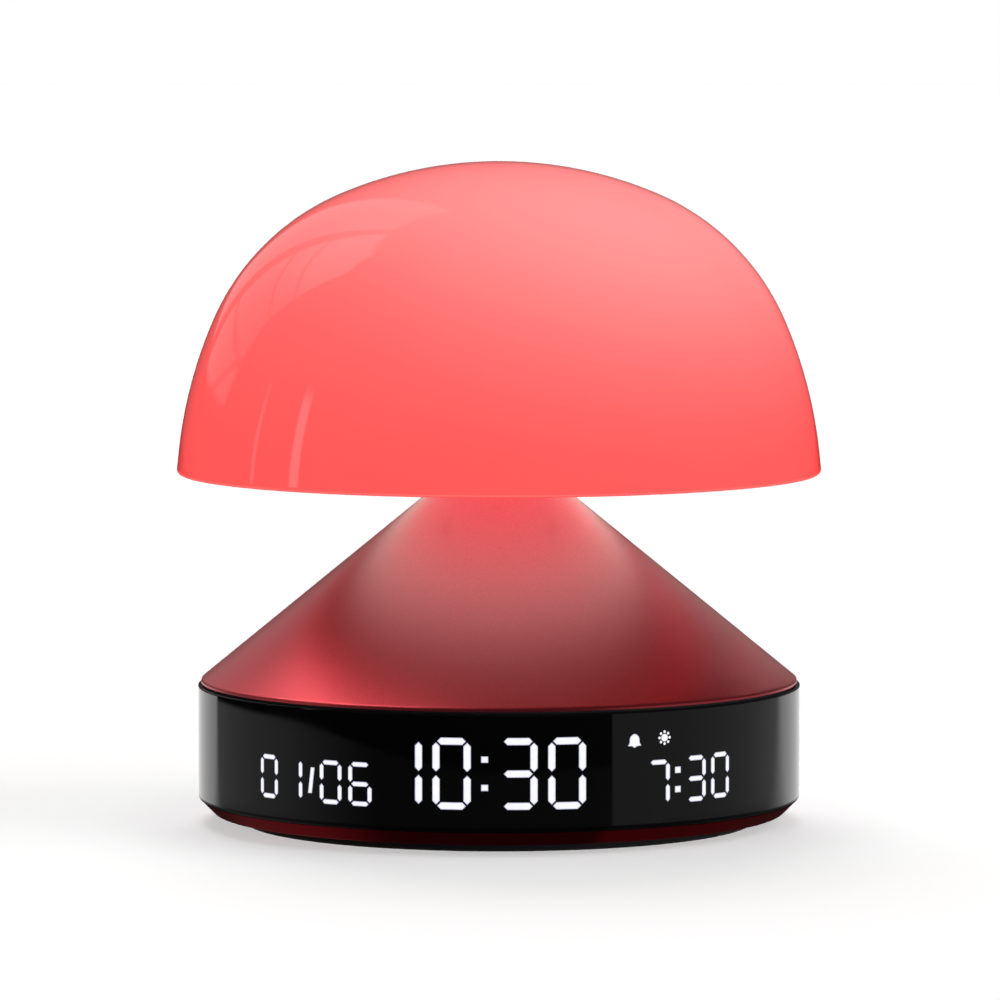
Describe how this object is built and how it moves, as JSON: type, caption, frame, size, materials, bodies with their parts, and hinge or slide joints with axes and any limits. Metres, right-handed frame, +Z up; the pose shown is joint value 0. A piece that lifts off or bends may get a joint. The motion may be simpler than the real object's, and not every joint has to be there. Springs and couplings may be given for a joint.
{
  "type": "sunrise alarm clock",
  "caption": "Bedside sunrise alarm clock: an opal dome lamp that presses down on a red cone over a round black display band.",
  "frame": {"origin": "middle of the underside of the foot ring, on the surface that the clock stands on", "axes": "+Z up along the clock's round axis, the display faces -Y, the keys and the power inlet face +Y"},
  "size_m": [0.1498, 0.1498, 0.154],
  "materials": {
    "opal_shade": "glossy opal plastic, lit from inside in sunrise coral",
    "opal_plate": "satin opal plastic",
    "cone_red": "satin metallic red",
    "band_black": "polished black",
    "pan_red": "satin metallic red",
    "foot_rubber": "matte rubber",
    "black_plastic": "moulded, fine texture",
    "white_plastic": "moulded, satin",
    "reflector": "moulded black with pale wells",
    "light_pipe": "milky light pipes, lit white",
    "circuit_board": "solder mask over glass fibre",
    "chip": "moulded",
    "connector": "moulded",
    "led": "clear lens over a pale package",
    "steel": "plated",
    "spring_steel": "drawn wire",
    "aluminium": "pressed, satin",
    "brass": "turned",
    "wire": "insulated wire",
    "cell": "shrink sleeve",
    "paper": "pressed paper",
    "foam": "closed-cell foam",
    "key_black": "satin moulded"
  },
  "bodies": {
    "base": {"alarm_board": "circuit_board", "alarm_reflector": "reflector", "alarm_segments": "light_pipe", "base_pan": "pan_red", "battery_cell": "cell", "battery_holder": "black_plastic", "battery_lead": "wire", "board_screws": "steel", "chassis": "black_plastic", "cone_cover": "cone_red", "cover_screws": "steel", "date_board": "circuit_board", "date_reflector": "reflector", "date_segments": "light_pipe", "display_band": "band_black", "foot_ring": "foot_rubber", "head_lead": "wire", "head_switch": "black_plastic", "key_board": "circuit_board", "main_board": "circuit_board", "main_chips": "chip", "main_connectors": "connector", "pan_screws": "steel", "port_board": "circuit_board", "port_lead": "wire", "power_inlet": "steel", "return_spring": "spring_steel", "speaker_cone": "paper", "speaker_frame": "steel", "speaker_gasket": "foam", "speaker_lead": "wire", "speaker_magnet": "steel", "stem_bush": "brass", "switch_board": "circuit_board", "tact_switches": "black_plastic", "time_board": "circuit_board", "time_reflector": "reflector", "time_segments": "light_pipe"},
    "head": {"dome_shade": "opal_shade", "dome_underplate": "opal_plate", "head_stem": "white_plastic", "stem_clip": "steel", "light_carrier": "aluminium", "led_board": "white_plastic", "leds": "led", "head_screws": "steel", "head_switch_plunger": "black_plastic"},
    "alarm_key": {"alarm_key": "key_black", "alarm_key_plunger": "black_plastic"},
    "clock_key": {"clock_key": "key_black", "clock_key_plunger": "black_plastic"},
    "minus_key": {"minus_key": "key_black", "minus_key_plunger": "black_plastic"},
    "plus_key": {"plus_key": "key_black", "plus_key_plunger": "black_plastic"},
    "light_key": {"light_key": "key_black", "light_key_plunger": "black_plastic"}
  },
  "joints": [
    {"name": "head_press", "type": "slide", "parent": "base", "child": "head", "axis": [0, 0, -1], "range_m": [0, 0.0012], "stiffness_N_per_m": 1500, "springref_m": -0.003, "deforming": ["return_spring", "head_lead"]},
    {"name": "alarm_key_press", "type": "slide", "parent": "base", "child": "alarm_key", "axis": [0, -1, 0], "range_m": [0, 0.0004], "stiffness_N_per_m": 1200, "springref_m": -0.0003},
    {"name": "clock_key_press", "type": "slide", "parent": "base", "child": "clock_key", "axis": [0, -1, 0], "range_m": [0, 0.0004], "stiffness_N_per_m": 1200, "springref_m": -0.0003},
    {"name": "minus_key_press", "type": "slide", "parent": "base", "child": "minus_key", "axis": [0, -1, 0], "range_m": [0, 0.0004], "stiffness_N_per_m": 1200, "springref_m": -0.0003},
    {"name": "plus_key_press", "type": "slide", "parent": "base", "child": "plus_key", "axis": [0, -1, 0], "range_m": [0, 0.0004], "stiffness_N_per_m": 1200, "springref_m": -0.0003},
    {"name": "light_key_press", "type": "slide", "parent": "base", "child": "light_key", "axis": [0, -1, 0], "range_m": [0, 0.0004], "stiffness_N_per_m": 1200, "springref_m": -0.0003}
  ]
}
